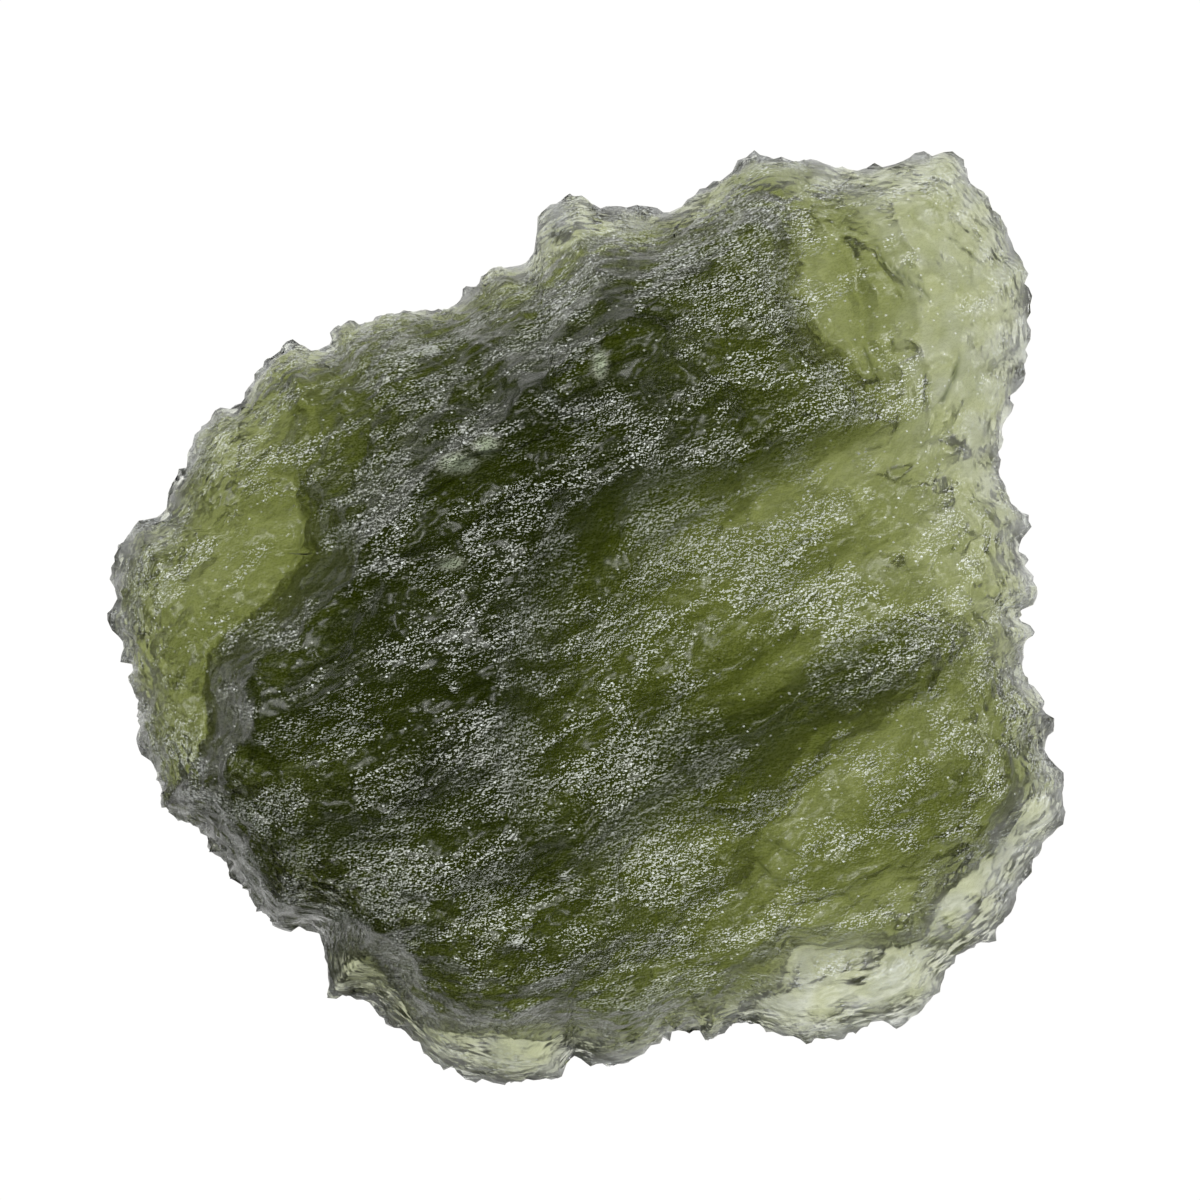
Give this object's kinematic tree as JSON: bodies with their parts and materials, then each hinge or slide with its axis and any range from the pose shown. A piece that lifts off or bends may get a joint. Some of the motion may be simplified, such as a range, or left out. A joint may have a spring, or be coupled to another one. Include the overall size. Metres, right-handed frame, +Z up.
{
  "type": "natural moldavite stone",
  "caption": "Raw moldavite, a flattish piece of green see-through natural glass with a thick dark core, deep etched flutes and thin pale chipped edges.",
  "frame": {"origin": "on the ground under the middle of the stone's bounding box", "axes": "+Z up from the flat spot the stone rests on; +X towards the side where the glass is thin and pale; +Y towards the edge that ends in the thin pale corner"},
  "size_m": [0.0273, 0.0266, 0.0112],
  "materials": {
    "glass": "etched natural glass, olive green and see-through where thin, nearly black where thick, with a fine glossy pitted surface"
  },
  "bodies": {
    "root": {"stone": "glass"}
  },
  "joints": []
}
